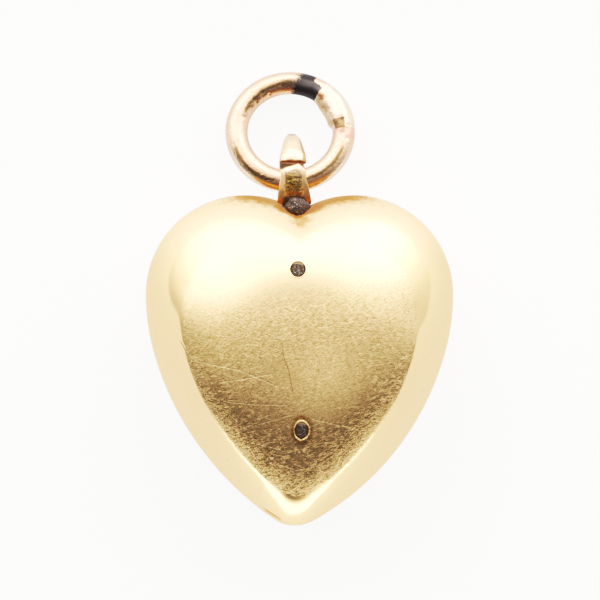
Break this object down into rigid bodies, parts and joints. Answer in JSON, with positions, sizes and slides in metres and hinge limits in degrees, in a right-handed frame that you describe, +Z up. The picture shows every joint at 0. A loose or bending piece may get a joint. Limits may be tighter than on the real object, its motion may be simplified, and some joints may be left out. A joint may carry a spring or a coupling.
{
  "type": "heart pendant",
  "caption": "Hollow puffed heart pendant with a soldered bail loop and a round jump ring, lying on its domed face.",
  "frame": {"origin": "on the surface that the pendant lies on, under the middle of its overall box", "axes": "+X across the heart, +Y along the heart from its tip to the jump ring, +Z up, away from the surface that it lies on"},
  "size_m": [0.014, 0.0206, 0.0071],
  "materials": {
    "yellow_gold": "worn polish with fine scratches, dark residue in the vents and round the solder at the notch",
    "rose_gold": "worn polish, black fire scale and pale solder on one side of the ring"
  },
  "bodies": {
    "root": {"heart": "yellow_gold", "jump_ring": "rose_gold"}
  },
  "joints": []
}
